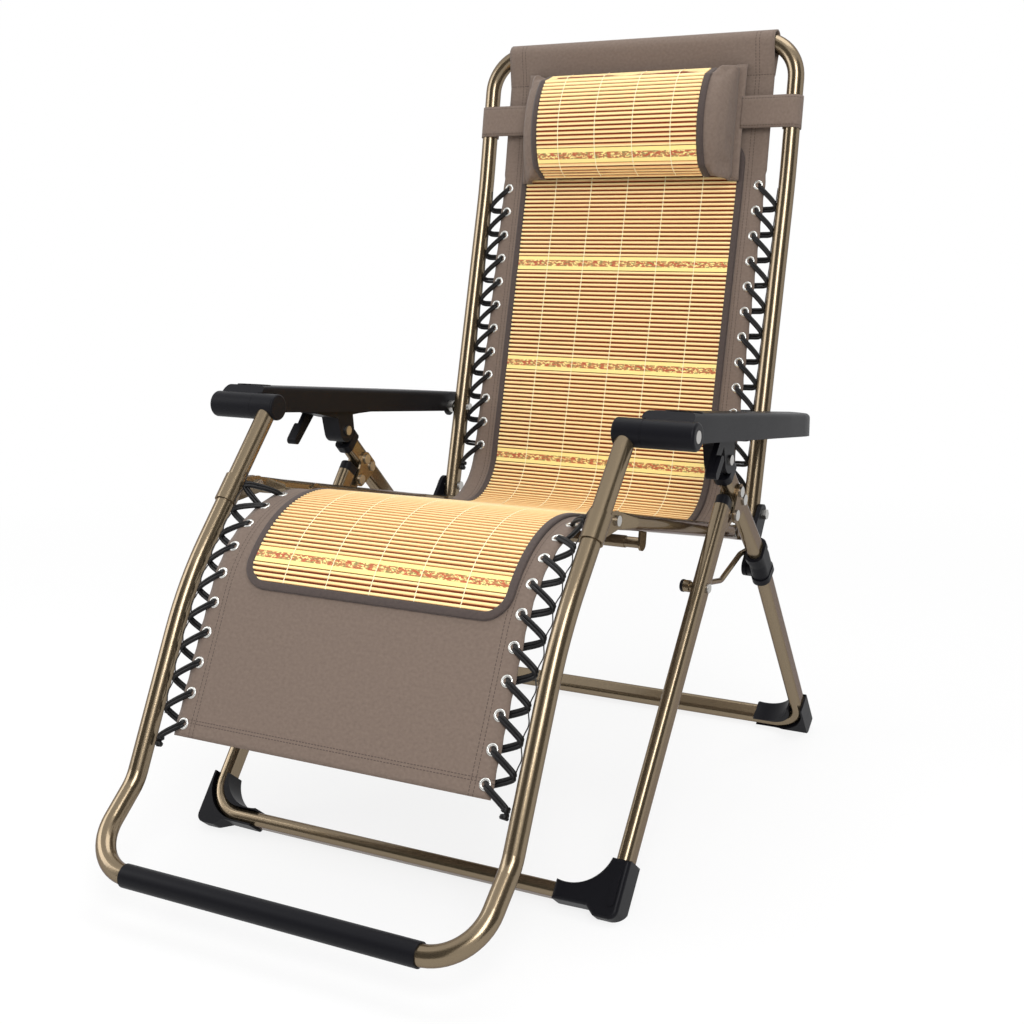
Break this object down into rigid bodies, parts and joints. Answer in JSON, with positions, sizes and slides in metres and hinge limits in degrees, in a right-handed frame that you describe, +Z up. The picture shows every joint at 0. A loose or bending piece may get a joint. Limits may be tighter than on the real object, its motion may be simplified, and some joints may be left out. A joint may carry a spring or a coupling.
{
  "type": "folding reclining lounge chair",
  "caption": "Reclining folding lounge chair: bent tube frame, laced fabric sling with a bamboo mat, curved leg rest, flat armrests with recline locks, and a strapped head pillow.",
  "frame": {"origin": "on the floor, at the middle of the chair's length and width", "axes": "+Z up, -Y to the front where the leg rest is, +X to the sitter's left"},
  "size_m": [0.72, 1.0671, 1.1069],
  "materials": {
    "bronze_tube": "metallic bronze powder coat",
    "steel": "zinc plated",
    "black_plastic": "fine moulded texture",
    "sling_fabric": "woven taupe canvas",
    "bamboo_mat": "split bamboo slats, glossy",
    "pillow_cover": "bamboo faced cushion with taupe ends",
    "elastic_cord": "braided elastic",
    "eyelet_metal": "bright pressed ring"
  },
  "bodies": {
    "base": {"rear_leg_frame": "bronze_tube", "upper_post_L": "bronze_tube", "upper_post_R": "bronze_tube", "collar_L": "black_plastic", "collar_R": "black_plastic", "gusset_outer_L": "bronze_tube", "gusset_outer_R": "bronze_tube", "gusset_inner_L": "bronze_tube", "gusset_inner_R": "bronze_tube", "gusset_rivets": "steel", "foot_rear_L": "black_plastic", "foot_rear_R": "black_plastic", "back_pivot_bolts": "steel", "stay_rivets": "steel", "post_head_L": "black_plastic", "post_head_R": "black_plastic"},
    "front_legs": {"front_leg_frame": "bronze_tube", "leg_caps": "black_plastic", "foot_front_L": "black_plastic", "foot_front_R": "black_plastic", "stay_leg_bolts": "steel"},
    "stays": {"stay_L": "bronze_tube", "stay_R": "bronze_tube", "stay_buttons": "black_plastic"},
    "back": {"back_frame": "bronze_tube", "rail_rear_bolts": "steel", "arm_rear_bolts": "steel", "sling_back": "sling_fabric", "mat_back": "bamboo_mat", "eyelets_back": "eyelet_metal", "lacing_back_L": "elastic_cord", "lacing_back_R": "elastic_cord"},
    "seat": {"seat_rail_L": "bronze_tube", "seat_rail_R": "bronze_tube", "seat_cross_brace": "bronze_tube", "sling_seat": "sling_fabric", "mat_seat": "bamboo_mat"},
    "leg_rest": {"leg_rest_frame": "bronze_tube", "foot_bar_sleeve": "black_plastic", "leg_bracket_L": "bronze_tube", "leg_bracket_R": "bronze_tube", "rail_front_bolts": "steel", "arm_sleeve_L": "black_plastic", "arm_sleeve_R": "black_plastic", "arm_pivot_bolts": "steel", "sling_leg": "sling_fabric", "mat_leg": "bamboo_mat", "eyelets_leg": "eyelet_metal", "lacing_leg_L": "elastic_cord", "lacing_leg_R": "elastic_cord"},
    "armrests": {"armrest_L": "black_plastic", "armrest_R": "black_plastic"},
    "lock_sliders": {"lock_slider_L": "black_plastic", "lock_slider_R": "black_plastic", "lock_pins": "steel"},
    "lock_lever_left": {"lock_lever_L": "black_plastic"},
    "lock_lever_right": {"lock_lever_R": "black_plastic"},
    "pillow": {"pillow": "pillow_cover", "pillow_strap_L": "sling_fabric", "pillow_strap_R": "sling_fabric"}
  },
  "joints": [
    {"name": "recline", "type": "hinge", "parent": "base", "child": "back", "pos_m": [0, 0.351, 0.388], "axis": [-1, 0, 0], "range_deg": [0, 30]},
    {"name": "seat_tilt", "type": "hinge", "parent": "back", "child": "seat", "pos_m": [0, 0.34334, 0.35796], "axis": [-1, 0, 0], "range_deg": [-24, 0]},
    {"name": "leg_lift", "type": "hinge", "parent": "seat", "child": "leg_rest", "pos_m": [0, -0.168, 0.474], "axis": [-1, 0, 0], "range_deg": [0, 41]},
    {"name": "arm_tilt", "type": "hinge", "parent": "leg_rest", "child": "armrests", "pos_m": [0, -0.1275, 0.575], "axis": [-1, 0, 0], "range_deg": [-43.2, 0]},
    {"name": "lock_tilt", "type": "hinge", "parent": "base", "child": "lock_sliders", "pos_m": [0, 0.08949, 0.51264], "axis": [-1, 0, 0], "range_deg": [0, 3.9]},
    {"name": "fold", "type": "hinge", "parent": "base", "child": "front_legs", "pos_m": [0, 0.126, 0.431], "axis": [1, 0, 0], "range_deg": [0, 62]},
    {"name": "stay_fold", "type": "hinge", "parent": "base", "child": "stays", "pos_m": [0, 0.318, 0.35], "axis": [1, 0, 0], "range_deg": [0, 17.1]},
    {"name": "lever_left", "type": "hinge", "parent": "lock_sliders", "child": "lock_lever_left", "pos_m": [0.306, 0.04349, 0.549], "axis": [1, 0, 0], "range_deg": [0, 50]},
    {"name": "lever_right", "type": "hinge", "parent": "lock_sliders", "child": "lock_lever_right", "pos_m": [-0.306, 0.04349, 0.549], "axis": [1, 0, 0], "range_deg": [0, 50]},
    {"name": "pillow_slide", "type": "slide", "parent": "back", "child": "pillow", "axis": [0, 0.1719, 0.9851], "range_m": [-0.03, 0]}
  ],
  "couplings": [
    {"joint": "seat_tilt", "follows": "recline", "ratio": -0.796},
    {"joint": "leg_lift", "follows": "recline", "ratio": 1.3618},
    {"joint": "arm_tilt", "follows": "recline", "ratio": -1.4377},
    {"joint": "lock_tilt", "follows": "recline", "ratio": 0.1281},
    {"joint": "stay_fold", "follows": "fold", "ratio": 0.275}
  ]
}
